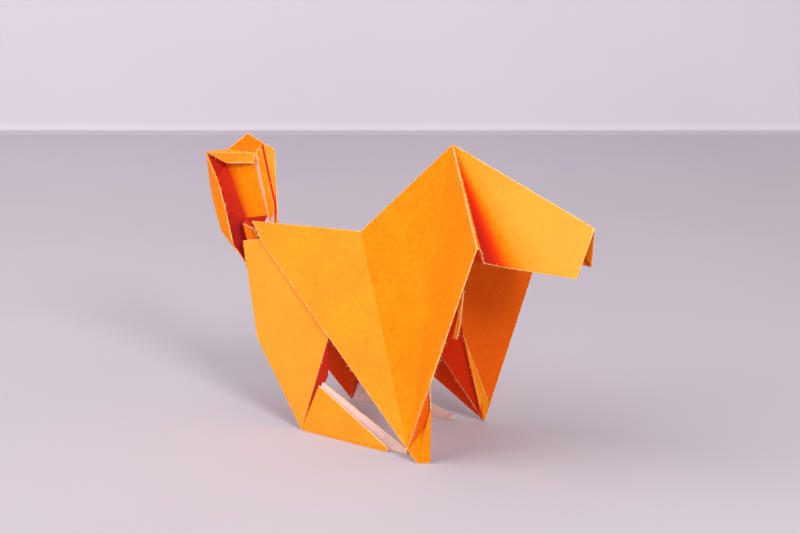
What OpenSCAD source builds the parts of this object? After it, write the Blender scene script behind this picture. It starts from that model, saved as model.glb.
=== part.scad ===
// Folded paper dog: two thick square paper sheets, the rear one slipped into the front one.
// X points to the dog's head, Y to its left side, Z up. The feet stand on Z = 0 and the
// middle of the length is at X = 0. All sizes are in millimetres.

/* [Sheets] */
// Thickness of one paper layer
paper_thickness = 0.4; // [0.3:0.05:0.6]
// Free space between the two sheets where one lies over the other
sheet_clearance = 0.35; // [0.25:0.05:1]

/* [Back and neck] */
// Height of the back at the notch below the neck
back_height = 72.2; // [68:0.5:78]
// Length of the back from the notch to its rear corner
back_length = 45.5; // [43:0.5:48]
// How much lower the rear corner of the back is than the notch
back_drop = 1.4; // [0:0.2:4]
// Half the width of the back at its rear corner
back_half_width = 3.2; // [3:0.2:5]
// How far the top of the neck is in front of the notch
neck_forward = 37.2; // [34:0.5:41]
// How far the top of the neck is above the notch
neck_rise = 35.4; // [32:0.5:40]
// Depth of the fold that hangs between the sides below the back
keel_depth = 5.5; // [4:0.5:6.5]

/* [Chest and head] */
// How far the chest corner is in front of the notch
chest_forward = 61.7; // [59:0.5:64]
// How far the chest corner is above the notch
chest_rise = 8.4; // [6:0.2:10]
// Half the width of the chest
chest_half_width = 26.5; // [24:0.5:28]
// How far the side of the head is folded in behind the chest corner
cheek_fold = 12.3; // [10:0.1:14]
// How far the top of the nose is in front of the notch
nose_forward = 90.8; // [86:0.5:95]
// How far the top of the nose is above the notch
nose_rise = 13.1; // [11:0.5:16]
// Height of the blunt nose end
nose_depth = 15.3; // [13:0.1:17]
// Half the width of the nose at its lower edge
nose_half_width = 8.5; // [6:0.5:10]
// How far the nose end slopes back at its lower edge
nose_setback = 2; // [1:0.25:4]

/* [Forelegs] */
// How far the outer layer's point of the right forefoot is in front of the notch
forefoot_forward = 34; // [31:0.5:37]
// Half the distance between the forefeet
forefoot_half_width = 24; // [22:0.5:27]
// Height of the outer layer's point of the right forefoot above the ground
forefoot_lift = 4.3; // [3:0.2:6]
// How far in front of that point both forefeet reach the ground
forefoot_reach = 3.8; // [2.5:0.1:5]
// How far the folded in strips spring away from the panels
strip_lift = 10; // [6:0.5:11]

/* [Hind legs] */
// Height of the rump
rump_height = 63; // [61:0.5:63.5]
// How far the rump is behind the notch
rump_back = 49.2; // [48.5:0.1:51]
// Height of the bend in the rear edge of the hind leg
bend_height = 29; // [26:0.5:33]
// How far that bend is behind the notch
bend_back = 38.5; // [36:0.5:41]
// How far the right heel is behind the notch
heel_back = 14.3; // [12:0.5:17]
// How much further back the left hind foot stands
left_foot_setback = 2.2; // [0:0.2:4]
// Half the distance between the heels
heel_half_width = 18.4; // [17.5:0.1:18.8]
// Length of the hind feet from heel to toe
hind_foot_length = 45; // [42:0.5:47]
// Height of the hind feet at their open top
hind_foot_height = 18.4; // [15:0.5:20]

/* [Tail] */
// Height of the folded top of the tail
tail_height = 95.4; // [90:0.5:99]
// How far the rear fold of the tail is behind the notch
tail_back = 63.5; // [62:0.5:67]
// Depth of the band that is folded over at the top of the tail
tail_band = 4.2; // [3:0.2:6]

/* [Hidden] */
layer_r = paper_thickness / 2;
sole = layer_r * 0.3;
layer_gap = (paper_thickness + sheet_clearance) * 1.15;
bead_sides = 8;
room = 400;
// Everything is drawn from the notch; this shift puts the middle of the length on the origin.
centre_x = (nose_forward - tail_back) / 2;

function far(p) = [p[0], -p[1], p[2]];
function mix(a, b, f) = a + (b - a) * f;
// Moves a point sideways into the plane through a, b and c.
function into_plane(p, a, b, c) =
    let (n = cross(b - a, c - a))
    [p[0], a[1] - ((p[0] - a[0]) * n[0] + (p[2] - a[2]) * n[2]) / n[1], p[2]];
// Points of the rear sheet that lie inside the right and the left back panel of the front sheet.
function under(x, z, deeper = 0) =
    into_plane([x, 0, z], back_corner, notch, fore_tip) + [0, layer_gap + deeper, 0];

function under_left(x, z, deeper = 0) =
    into_plane([x, 0, z], left_back_corner, notch, left_fore_tip) - [0, layer_gap + deeper, 0];

// Corners of the front sheet, right side of the dog.
notch = [0, 0, back_height];
back_corner = [-back_length, -back_half_width, back_height - back_drop];
neck_top = [neck_forward, 0, back_height + neck_rise];
chest = [chest_forward, -chest_half_width, back_height + chest_rise];
fore_tip = [forefoot_forward, -forefoot_half_width, forefoot_lift];
foot_ground = [forefoot_forward + forefoot_reach, -forefoot_half_width, sole];
left_fore_tip = far(foot_ground);
back_trim = into_plane([-back_length + 5.1, 0, back_height - back_drop - 6.1], back_corner, notch, fore_tip);
left_back_corner = far(back_corner) + [0, -0.8, -1.8];
left_back_trim = into_plane(far(back_trim), left_back_corner, notch, left_fore_tip);
curl = chest + [-1.4, cheek_fold - 5.3, -7];
cheek = chest + [-4.3, cheek_fold, -8.4];
jaw = chest + [2.6, cheek_fold + 1.1, -9.1];
nose_top = [nose_forward, 0, back_height + nose_rise];
nose_low = [nose_forward - nose_setback, -nose_half_width, back_height + nose_rise - nose_depth];
left_nose_low = far(nose_low) + [-2.4, -0.5, -0.2];
nose_ridge = mix(nose_top, neck_top, 0.16) + [0, 0, -1];
head_ridge = mix(neck_top, nose_top, 0.35) + [0, 0, 0.8];
keel_rear = [-back_length + 5.5, 0, back_height - back_drop - keel_depth + 0.7];
keel_mid = [0, 0, back_height - keel_depth - 5];
keel_front = [neck_forward - 1, 0, back_height - 8.6];
strip_top = mix(fore_tip, neck_top, 0.68) + [-2, strip_lift * 0.4, 0];
strip_top_left = far(mix(fore_tip, neck_top, 0.68)) + [-3, -strip_lift, 0];
head_strip_level = [neck_forward + 24, 0, back_height + 14];
head_strip_top = into_plane(head_strip_level, neck_top, nose_top, nose_low) + [0, 2, 0];

// Layers of the right forefoot that show in front of the outer panel.
slit_up = mix(fore_tip, chest, 0.3);
slit_top = [forefoot_forward + 7.3, -forefoot_half_width + 2.4, forefoot_lift + 24.4];
slit_low = [forefoot_forward + 6.6, -forefoot_half_width + 3, forefoot_lift + 10.2];
slit_front = [forefoot_forward + 8.2, -forefoot_half_width + 1.6, forefoot_lift + 16.2];
foot_front = [forefoot_forward + 7.4, -forefoot_half_width + 2.6, sole];
flap_level = back_height - 12.2;
flap_up = [neck_forward + 10, -9, flap_level];
flap_front = flap_up + [-0.8, 0, -6.5];
flap_front_low = flap_up + [-1.3, 0, -12.3];
flap_end = flap_up + [-2.5, 0, -17.9];
flap_end_rear = flap_up + [-4.1, 0, -17.8];

// Narrow folded strip inside the left foreleg.
narrow_top = [forefoot_forward + 2.3, forefoot_half_width - 13.8, forefoot_lift + 32.9];
narrow_side = [forefoot_forward + 6.4, forefoot_half_width - 1.4, forefoot_lift + 4.2];
narrow_in = [forefoot_forward + 3.8, forefoot_half_width - 3.2, forefoot_lift + 1.5];
// Layer that returns from the edge of the left strip towards the left panel.
strip_back = [forefoot_forward - 15.1, forefoot_half_width - 19.2, forefoot_lift + 39];

// Corners of the rear sheet, right side of the dog.
heel = [-heel_back, -heel_half_width, sole];
left_heel = far(heel) - [left_foot_setback, 0, 0];
rump = under(-rump_back, rump_height, 1.4);
rump_inner = under(-rump_back + 9.7, rump_height + 2.2, 0.2);
leg_apex = under(-heel_back + 8.4, 35.2, 0.9);
hind_bend = into_plane([-bend_back, 0, bend_height], rump, leg_apex, heel);
hind_top = under(-heel_back + 10.6, 52, 0.2);
left_rump = under_left(-rump_back, rump_height, 1.4);
left_rump_inner = under_left(-rump_back + 9.7, rump_height + 2.2, 0.2);
left_leg_apex = under_left(-heel_back + 7.4, 35.2, 1.2);
left_hind_bend = into_plane([-bend_back, 0, bend_height], left_rump, left_leg_apex, left_heel);
left_hind_top = under_left(-heel_back + 10.6, 52, 0.2);
hind_notch = into_plane([-rump_back + 2.6, 0, rump_height - 9.3], rump, leg_apex, heel);
left_hind_notch = into_plane(hind_notch, left_rump, left_leg_apex, left_heel);
rear_keel_back = [-rump_back + 3, 0, rump_height - 9];
rear_keel_front = [-heel_back + 8, 0, 44];
inner_bend = hind_bend + [2.4, 3.4, 1];
inner_edge = [-heel_back + 7.8, -heel_half_width + 5.6, 20.6];

// Hind foot, a trough that is open at the top.
toe = [-heel_back + hind_foot_length - 7.4, -heel_half_width - 2.2, sole];
toe_rise = toe + [0.6, -0.2, 1.6];
foot_top = [-heel_back + 5.8, -heel_half_width + 3, hind_foot_height - 1.2];
inner_toe = [-heel_back + hind_foot_length, -heel_half_width - 0.2, sole];
inner_toe_rise = inner_toe + [-1, 0.6, 1.8];
inner_foot_top = [-heel_back + 6.8, -heel_half_width + 4, hind_foot_height];

// Tail, a trough that is open towards the front and the right side.
tail_corner = [-tail_back + 0.1, -6.5, tail_height];
tail_spine = [-tail_back, -4.3, tail_height - 14];
tail_spine_low = [-tail_back + 1.2, -4, tail_height - 20.5];
tail_bend = [-tail_back + 4.3, -4, rump_height + 2.5];
tail_root = [-rump_back + 1.8, -3.6, rump_height - 9.9];
tail_lip_top = tail_corner + [0.9, -0.4, -2];
tail_lip = [-tail_back + 6.6, -8.2, tail_height - 10.3];
tail_lip_mid = [-tail_back + 8.8, -7, tail_height - 21.5];
tail_lip_low = [-tail_back + 10.2, -5, rump_height - 1.9];
tail_valley_top = [-tail_back + 3.4, 1.2, tail_height - 5];
tail_valley = [-tail_back + 7.6, 2, tail_height - 17.4];
tail_valley_low = [-tail_back + 11.6, 1.8, rump_height + 7.2];
tail_edge = [-tail_back + 14, 5, tail_height - 5.3];
tail_edge_low = [-tail_back + 19, 5, rump_height + 8.6];
band_left = [-tail_back + 5.9, -2, tail_height - tail_band];
band_right = [-tail_back + 14.3, 3.2, tail_height - tail_band];
band_top = [-tail_back + 14.3, 4, tail_height - 0.6];
tail_apex = [-tail_back + 10.6, 5, tail_height + 6.1];
tail_apex_left = [-tail_back + 5, 0.6, tail_height + 0.4];
tail_apex_right = [-tail_back + 16.4, 6.5, tail_height + 2.9];
strip_left = [-tail_back + 14.8, 4.4, tail_height];
strip_right = [-tail_back + 16.8, 4.9, tail_height + 1.2];
strip_right_low = [-tail_back + 22, 5.2, rump_height + 11.6];
strip_tip = [-tail_back + 20.4, 4.6, rump_height + 5.8];
flap_left = [-tail_back + 16.8, 6, tail_height + 2.9];
flap_top = [-tail_back + 19.3, 8, tail_height + 1.2];
flap_out = [-tail_back + 20.2, 8.4, tail_height];
flap_out_low = [-tail_back + 21.5, 6.9, rump_height + 12.4];
flap_low = [-tail_back + 23, 5.6, rump_height + 5.9];
flap_tip = [-tail_back + 22, 5, rump_height + 4.5];
base_left = [-rump_back - 1.7, -1.9, rump_height + 6.1];
base_right = [-rump_back + 3.4, -2, rump_height + 4.7];
base_low = [-rump_back + 5.2, -2, rump_height + 1.1];
base_corner = [-rump_back + 0.6, -2.4, rump_height + 0.2];
tail_floor = [-rump_back - 1.4, 1.2, rump_height - 4];

// One flat paper facet with rounded folded edges.
module facet(corners, layers = 1) {
  hull()
    for (p = corners)
      translate(p)
        sphere(r = layer_r * layers, $fn = bead_sides);
}

// The same facet on both sides of the dog.
module both(corners) {
  facet(corners);
  facet([for (p = corners) far(p)]);
}

// A sheet in the dog's frame, cut level with the ground so that the feet have flat soles.
module standing() {
  translate([-centre_x, 0, 0])
    intersection() {
      union()
        children();
      translate([-room / 2, -room / 2, 0])
        cube(room);
    }
}

// Back, neck and chest panels of one side. The rear corner of the back is folded away to the trim point.
module side_panels(corner, trim, tip, chest_corner) {
  facet([corner, notch, tip, trim]);
  facet([notch, neck_top, tip]);
  facet([neck_top, chest_corner, tip]);
}

// Roof of the head: a return strip, a deep fold and a wide side on both sides.
module head() {
  both([neck_top, chest, curl]);
  both([neck_top, curl, cheek]);
  both([neck_top, cheek, jaw]);
  both([neck_top, jaw, head_ridge]);
  facet([head_ridge, jaw, nose_low]);
  facet([head_ridge, nose_low, nose_top]);
  facet([head_ridge, far(jaw), left_nose_low]);
  facet([head_ridge, left_nose_low, nose_top]);
  facet([jaw, nose_low, head_strip_top]);
  facet([far(jaw), left_nose_low, far(head_strip_top)]);
  facet([nose_low, nose_top, nose_ridge]);
  facet([left_nose_low, nose_top, nose_ridge]);
}

// Strips folded in behind the front edges of the legs.
module leg_strips() {
  facet([fore_tip, chest, strip_top]);
  facet([left_fore_tip, far(chest), strip_top_left]);
  facet([left_fore_tip, strip_top_left, strip_back]);
  facet([chest, curl, strip_top]);
  facet([curl, cheek, strip_top]);
  facet([far(chest), far(curl), strip_top_left]);
  facet([far(curl), far(cheek), strip_top_left]);
  facet([narrow_top, narrow_side, left_fore_tip, narrow_in]);
  facet([narrow_top, narrow_in, strip_top_left]);
  facet([narrow_in, left_fore_tip, far(slit_up)]);
}

// Layers of the right forefoot and the small flap inside its leg.
module forefoot_layers() {
  facet([slit_up, slit_low, fore_tip]);
  facet([fore_tip, slit_low, foot_ground]);
  facet([slit_top, slit_front, slit_low]);
  facet([slit_up, slit_top, slit_low]);
  facet([slit_front, foot_front, foot_ground]);
  facet([slit_front, foot_ground, slit_low]);
  facet([flap_up, flap_front, flap_front_low, flap_end, flap_end_rear]);
  facet([flap_up, flap_end_rear, strip_top]);
}

// Front sheet: back, neck, head and forelegs.
module front_sheet() {
  color([1, 0.6, 0.1])
    standing() {
      side_panels(back_corner, back_trim, fore_tip, chest);
      side_panels(left_back_corner, left_back_trim, left_fore_tip, far(chest));
      head();
      leg_strips();
      forefoot_layers();
      // Folds that hang between the sides below the back and the neck.
      facet([back_corner, notch, keel_rear]);
      facet([left_back_corner, notch, keel_rear]);
      facet([notch, keel_rear, keel_mid], 2);
      facet([notch, neck_top, keel_front], 2);
    }
}

// Hind leg and foot of the right side; mirrored for the left side by the caller.
module hind_foot() {
  facet([heel, foot_top, toe_rise]);
  facet([heel, toe_rise, toe]);
  facet([heel, inner_foot_top, inner_toe_rise]);
  facet([heel, inner_toe_rise, inner_toe]);
}

// Panels of both hind legs and the folds that join them below the rump.
module hind_legs() {
  facet([rump, leg_apex, heel, hind_bend]);
  facet([left_rump, left_leg_apex, left_heel, left_hind_bend]);
  facet([rump, rump_inner, leg_apex]);
  facet([rump_inner, hind_top, leg_apex]);
  facet([left_rump, left_rump_inner, left_leg_apex]);
  facet([left_rump_inner, left_hind_top, left_leg_apex]);
  facet([rump, rump_inner, rear_keel_back]);
  facet([left_rump, left_rump_inner, rear_keel_back]);
  facet([rump_inner, hind_top, rear_keel_back]);
  facet([left_rump_inner, left_hind_top, rear_keel_back]);
  facet([hind_top, rear_keel_back, rear_keel_front]);
  facet([left_hind_top, rear_keel_back, rear_keel_front]);
  facet([inner_bend, heel, inner_edge]);
  facet([leg_apex, heel, inner_edge]);
  facet([left_leg_apex, left_heel, far(inner_edge)]);
  hind_foot();
  translate([-left_foot_setback, 0, 0])
    mirror([0, 1, 0])
      hind_foot();
}

// Tail trough with its folded over band, its rear point and the two narrow layers on the left.
module tail() {
  facet([tail_corner, tail_lip_top, tail_lip]);
  facet([tail_corner, tail_lip, tail_spine]);
  facet([tail_spine, tail_lip, tail_lip_mid]);
  facet([tail_spine, tail_lip_mid, tail_spine_low]);
  facet([tail_spine_low, tail_lip_mid, tail_bend]);
  facet([tail_bend, tail_lip_mid, tail_lip_low]);
  facet([tail_bend, tail_lip_low, tail_root]);
  facet([tail_corner, tail_valley_top, tail_spine]);
  facet([tail_spine, tail_valley_top, tail_valley]);
  facet([tail_spine, tail_valley, tail_spine_low]);
  facet([tail_spine_low, tail_valley, tail_valley_low]);
  facet([tail_spine_low, tail_valley_low, tail_bend]);
  facet([tail_valley_top, tail_edge, tail_valley]);
  facet([tail_valley, tail_edge, tail_edge_low]);
  facet([tail_valley, tail_edge_low, tail_valley_low]);
  facet([tail_bend, tail_valley_low, tail_floor]);
  facet([tail_bend, tail_floor, tail_root]);
  facet([tail_valley_low, tail_edge_low, tail_floor]);
  facet([tail_corner, band_left, band_top]);
  facet([band_left, band_right, band_top]);
  facet([tail_corner, band_top, tail_edge]);
  facet([tail_corner, tail_edge, tail_valley_top]);
  facet([tail_apex_left, tail_apex, tail_apex_right]);
  facet([tail_apex_left, tail_apex_right, band_top]);
  facet([tail_corner, tail_apex_left, band_top]);
  facet([strip_left, tail_edge, tail_edge_low]);
  facet([strip_left, strip_right, strip_right_low]);
  facet([strip_left, strip_right_low, strip_tip]);
  facet([strip_left, tail_edge_low, strip_tip]);
  facet([tail_apex_right, strip_left, strip_right]);
  facet([flap_left, flap_top, flap_out_low]);
  facet([flap_top, flap_out, flap_out_low]);
  facet([flap_out_low, flap_out, flap_low]);
  facet([flap_out_low, flap_low, flap_tip]);
  facet([strip_right, flap_left, flap_out_low]);
  facet([strip_right, strip_right_low, flap_out_low]);
  facet([strip_right_low, flap_out_low, flap_tip]);
}

// Small layers that join the tail to the rump.
module tail_base() {
  facet([base_left, base_right, base_low]);
  facet([base_left, base_low, base_corner]);
  facet([base_left, tail_valley_low, base_right]);
  facet([base_corner, tail_floor, base_left]);
  facet([base_corner, base_low, rear_keel_back]);
  facet([base_corner, rump, rear_keel_back]);
  facet([tail_root, hind_notch, rear_keel_back]);
  facet([rump, hind_notch, rear_keel_back]);
  facet([tail_root, tail_floor, rear_keel_back]);
  facet([left_rump, rear_keel_back, left_hind_notch]);
}

// Rear sheet: rump, hind legs and tail.
module rear_sheet() {
  color([0.95, 0.55, 0.08])
    standing() {
      hind_legs();
      tail();
      tail_base();
    }
}

front_sheet();
rear_sheet();
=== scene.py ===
"""Folded paper dog, made of two thick square sheets that are orange outside and white inside."""
import math
import random

import bmesh
import bpy
from mathutils import Matrix, Vector, noise


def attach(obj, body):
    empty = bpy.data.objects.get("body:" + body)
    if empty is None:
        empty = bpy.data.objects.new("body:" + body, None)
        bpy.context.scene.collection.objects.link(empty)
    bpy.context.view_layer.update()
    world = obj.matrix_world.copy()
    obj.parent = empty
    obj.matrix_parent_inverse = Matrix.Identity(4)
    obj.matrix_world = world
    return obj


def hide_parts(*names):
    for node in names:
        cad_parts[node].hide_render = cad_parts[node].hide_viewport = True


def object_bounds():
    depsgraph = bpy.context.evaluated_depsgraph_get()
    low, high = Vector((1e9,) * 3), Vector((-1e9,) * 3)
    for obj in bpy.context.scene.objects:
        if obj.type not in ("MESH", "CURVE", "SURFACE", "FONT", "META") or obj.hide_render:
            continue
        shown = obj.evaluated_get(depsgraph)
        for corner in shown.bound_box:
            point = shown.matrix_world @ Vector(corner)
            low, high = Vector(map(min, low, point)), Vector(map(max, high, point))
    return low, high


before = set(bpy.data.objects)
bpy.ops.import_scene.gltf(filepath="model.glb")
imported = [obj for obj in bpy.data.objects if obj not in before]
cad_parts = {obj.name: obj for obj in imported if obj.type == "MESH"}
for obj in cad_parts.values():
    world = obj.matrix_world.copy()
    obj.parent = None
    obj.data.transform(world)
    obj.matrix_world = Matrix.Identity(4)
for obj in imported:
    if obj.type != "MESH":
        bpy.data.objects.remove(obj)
cad_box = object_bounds()

MM = 0.001
PAPER = 0.36  # visible thickness of one layer, mm
RIM_STEPS = 4  # steps around a rim, from one side of the paper to the other
RING_DEPTHS = (0.0, 0.18, 0.4, 0.7, 1.1, 1.8)  # rings of points inside a facet's edge, mm
RING_STEP = 2.2  # spacing of the rings further in, mm
LONG_STEP = 1.6  # spacing of points along a facet's edge, mm
CURVE_STEP, FAN_STEP = 1.2, 1.8  # the same along a curve and along a fan's lines, mm
APEX_GAP = 0.006  # share of a fan's length that is left out at its apex
UNWORN = 9.0  # distance that stands for no worn edge, mm
OUTSIDE, INSIDE, CUT, FIBRE = 0, 1, 2, 3  # material slots of a sheet

# Loose fibres of the paper.
FIBRES_PER_MM = 3.0  # along a fully worn edge
FIBRE_MARGIN = 1.3  # distance that they keep from the outermost points of the dog, mm
SHORTEST_FIBRE, LONGEST_FIBRE = 0.4, 1.1  # mm

# Sizes of the dog, mm, measured from the notch between back and neck.
BACK_HEIGHT = 72.2
BACK_LENGTH = 45.5
NOSE_FORWARD = 90.8
NOSE_TOP = BACK_HEIGHT + 13.1
FORE_X, FORE_Y = 34.0, 24.0
TAIL_BACK = 63.5
TAIL_HEIGHT = 95.4
RUMP_BACK = 49.2
RUMP_HEIGHT = 63.0
HEEL_BACK = 14.3
HEEL_HALF = 18.4
LEFT_FOOT_SETBACK = 2.2
FOOT_LENGTH = 45.0
FOOT_HEIGHT = 18.4
CENTRE_X = (NOSE_FORWARD - TAIL_BACK) / 2
SOLE = 0.19
LAYER_GAP = 0.8625  # sideways from the front sheet's back panels to the rear sheet inside them


def far(p):
    """The same point on the dog's left side."""
    return Vector((p[0], -p[1], p[2]))


def mix(a, b, f):
    return Vector(a) + (Vector(b) - Vector(a)) * f


def into_plane(p, a, b, c):
    """Moves a point sideways into the plane through a, b and c."""
    n = (Vector(b) - Vector(a)).cross(Vector(c) - Vector(a))
    y = a[1] - ((p[0] - a[0]) * n[0] + (p[2] - a[2]) * n[2]) / n[1]
    return Vector((p[0], y, p[2]))


# Corners of the front sheet, right side of the dog.
notch = Vector((0, 0, BACK_HEIGHT))
back_corner = Vector((-BACK_LENGTH, -3.2, BACK_HEIGHT - 1.4))
neck_top = Vector((37.2, 0, BACK_HEIGHT + 35.4))
chest = Vector((61.7, -26.5, BACK_HEIGHT + 8.4))
fore_tip = Vector((FORE_X, -FORE_Y, 4.3))
foot_ground = Vector((FORE_X + 3.8, -FORE_Y, SOLE))
left_fore_tip = far(foot_ground)
back_trim = into_plane((-BACK_LENGTH + 5.1, 0, BACK_HEIGHT - 7.5), back_corner, notch, fore_tip)
left_back_corner = far(back_corner) + Vector((0, -0.8, -1.8))
left_back_trim = into_plane(back_trim, left_back_corner, notch, left_fore_tip)
curl = chest + Vector((-1.4, 7, -7))
cheek = chest + Vector((-4.3, 12.3, -8.4))
jaw = chest + Vector((2.6, 13.4, -9.1))
nose_top = Vector((NOSE_FORWARD, 0, NOSE_TOP))
nose_low = Vector((NOSE_FORWARD - 2, -8.5, NOSE_TOP - 15.3))
left_nose_low = far(nose_low) + Vector((-2.4, -0.5, -0.2))
nose_ridge = mix(nose_top, neck_top, 0.16) + Vector((0, 0, -1))
keel_rear = Vector((-BACK_LENGTH + 5.5, 0, BACK_HEIGHT - 6.2))
keel_mid = Vector((0, 0, BACK_HEIGHT - 10.5))
keel_front = Vector((36.2, 0, BACK_HEIGHT - 8.6))
strip_top = mix(fore_tip, neck_top, 0.68) + Vector((-2, 4, 0))
strip_top_left = far(mix(fore_tip, neck_top, 0.68)) + Vector((-3, -10, 0))
head_strip_top = into_plane((61.2, 0, BACK_HEIGHT + 14), neck_top, nose_top, nose_low) + Vector((0, 2, 0))

# Layers of the right forefoot, and the small flap inside that leg.
slit_up = mix(fore_tip, chest, 0.3)
slit_top = Vector((FORE_X + 7.3, -FORE_Y + 2.4, 28.7))
slit_low = Vector((FORE_X + 6.6, -FORE_Y + 3, 14.5))
slit_front = Vector((FORE_X + 8.2, -FORE_Y + 1.6, 20.5))
foot_front = Vector((FORE_X + 7.4, -FORE_Y + 2.6, SOLE))
flap_up = Vector((47.2, -9, BACK_HEIGHT - 12.2))
flap_front = flap_up + Vector((-0.8, 0, -6.5))
flap_front_low = flap_up + Vector((-1.3, 0, -12.3))
flap_end = flap_up + Vector((-2.5, 0, -17.9))
flap_end_rear = flap_up + Vector((-4.1, 0, -17.8))

# Narrow folded strip inside the left foreleg.
narrow_top = Vector((FORE_X + 2.3, FORE_Y - 13.8, 37.2))
narrow_side = Vector((FORE_X + 6.4, FORE_Y - 1.4, 8.5))
narrow_in = Vector((FORE_X + 3.8, FORE_Y - 3.2, 5.8))
strip_back = Vector((FORE_X - 15.1, FORE_Y - 19.2, 43.3))


def under(x, z, deeper=0.0):
    """A point of the rear sheet that lies inside the right back panel of the front sheet."""
    return into_plane((x, 0, z), back_corner, notch, fore_tip) + Vector((0, LAYER_GAP + deeper, 0))


def under_left(x, z, deeper=0.0):
    """The same inside the left back panel."""
    panel = (left_back_corner, notch, left_fore_tip)
    return into_plane((x, 0, z), *panel) - Vector((0, LAYER_GAP + deeper, 0))


# Corners of the rear sheet.
heel = Vector((-HEEL_BACK, -HEEL_HALF, SOLE))
left_heel = far(heel) - Vector((LEFT_FOOT_SETBACK, 0, 0))
rump = under(-RUMP_BACK, RUMP_HEIGHT, 1.4)
rump_inner = under(-RUMP_BACK + 9.7, RUMP_HEIGHT + 2.2, 0.2)
leg_apex = under(-HEEL_BACK + 8.4, 35.2, 0.9)
hind_bend = into_plane((-38.5, 0, 29), rump, leg_apex, heel)
hind_top = under(-HEEL_BACK + 10.6, 52, 0.2)
left_rump = under_left(-RUMP_BACK, RUMP_HEIGHT, 1.4)
left_rump_inner = under_left(-RUMP_BACK + 9.7, RUMP_HEIGHT + 2.2, 0.2)
left_leg_apex = under_left(-HEEL_BACK + 7.4, 35.2, 1.2)
left_hind_bend = into_plane((-38.5, 0, 29), left_rump, left_leg_apex, left_heel)
left_hind_top = under_left(-HEEL_BACK + 10.6, 52, 0.2)
hind_notch = into_plane((-RUMP_BACK + 2.6, 0, RUMP_HEIGHT - 9.3), rump, leg_apex, heel)
left_hind_notch = into_plane(hind_notch, left_rump, left_leg_apex, left_heel)
rear_keel_back = Vector((-RUMP_BACK + 3, 0, RUMP_HEIGHT - 9))
rear_keel_front = Vector((-HEEL_BACK + 8, 0, 44))
inner_bend = hind_bend + Vector((2.4, 3.4, 1))
inner_edge = Vector((-HEEL_BACK + 7.8, -HEEL_HALF + 5.6, 20.6))
toe = Vector((-HEEL_BACK + FOOT_LENGTH - 7.4, -HEEL_HALF - 2.2, SOLE))
toe_rise = toe + Vector((0.6, -0.2, 1.6))
foot_top = Vector((-HEEL_BACK + 5.8, -HEEL_HALF + 3, FOOT_HEIGHT - 1.2))
inner_toe = Vector((-HEEL_BACK + FOOT_LENGTH, -HEEL_HALF - 0.2, SOLE))
inner_toe_rise = inner_toe + Vector((-1, 0.6, 1.8))
inner_foot_top = Vector((-HEEL_BACK + 6.8, -HEEL_HALF + 4, FOOT_HEIGHT))


def tail_point(x, y, z):
    """A point of the tail, measured from its rear fold and its top."""
    return Vector((-TAIL_BACK + x, y, TAIL_HEIGHT + z))


def base_point(x, y, z):
    """A point near the tail's root, measured from the rump."""
    return Vector((-RUMP_BACK + x, y, RUMP_HEIGHT + z))


# Corners of the tail trough.
tail_corner = tail_point(0.1, -6.5, 0)
tail_spine = tail_point(0, -4.3, -14)
tail_spine_low = tail_point(1.2, -4, -20.5)
tail_bend = Vector((-TAIL_BACK + 4.3, -4, RUMP_HEIGHT + 2.5))
tail_root = base_point(1.8, -3.6, -9.9)
tail_lip_top = tail_corner + Vector((0.9, -0.4, -2))
tail_lip = tail_point(6.6, -8.2, -10.3)
tail_lip_mid = tail_point(8.8, -7, -21.5)
tail_lip_low = Vector((-TAIL_BACK + 10.2, -5, RUMP_HEIGHT - 1.9))
tail_valley_top = tail_point(3.4, 1.2, -5)
tail_valley = tail_point(7.6, 2, -17.4)
tail_valley_low = Vector((-TAIL_BACK + 11.6, 1.8, RUMP_HEIGHT + 7.2))
tail_edge = tail_point(14, 5, -5.3)
tail_edge_low = Vector((-TAIL_BACK + 19, 5, RUMP_HEIGHT + 8.6))
band_left = tail_point(5.9, -2, -4.2)
band_right = tail_point(14.3, 3.2, -4.2)
band_top = tail_point(14.3, 4, -0.6)
tail_apex = tail_point(10.6, 5, 6.1)
tail_apex_left = tail_point(5, 0.6, 0.4)
tail_apex_right = tail_point(16.4, 6.5, 2.9)
strip_left = tail_point(14.8, 4.4, 0)
strip_right = tail_point(16.8, 4.9, 1.2)
strip_right_low = Vector((-TAIL_BACK + 22, 5.2, RUMP_HEIGHT + 11.6))
strip_tip = Vector((-TAIL_BACK + 20.4, 4.6, RUMP_HEIGHT + 5.8))
flap_left = tail_point(16.8, 6, 2.9)
flap_top = tail_point(19.3, 8, 1.2)
flap_out = tail_point(20.2, 8.4, 0)
flap_out_low = Vector((-TAIL_BACK + 21.5, 6.9, RUMP_HEIGHT + 12.4))
flap_low = Vector((-TAIL_BACK + 23, 5.6, RUMP_HEIGHT + 5.9))
flap_tip = Vector((-TAIL_BACK + 22, 5, RUMP_HEIGHT + 4.5))
base_left = base_point(-1.7, -1.9, 6.1)
base_right = base_point(3.4, -2, 4.7)
base_low = base_point(5.2, -2, 1.1)
base_corner = base_point(0.6, -2.4, 0.2)
tail_floor = base_point(-1.4, 1.2, -4)


def spread(curve, step):
    """Points about one step apart along a chain of (point, painted shade) pairs."""
    found = []
    for (a, deep_a), (b, deep_b) in zip(curve, curve[1:]):
        count = max(1, round((Vector(b) - Vector(a)).length / step))
        found += [(mix(a, b, k / count), deep_a + (deep_b - deep_a) * k / count) for k in range(count)]
    return found + [(Vector(curve[-1][0]), curve[-1][1])]


def swell(p, amount):
    """Slow unevenness of a sheet, mm."""
    return amount * 2 * (noise.noise(p * 0.09) + 0.4 * noise.noise(p * 0.23))


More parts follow.
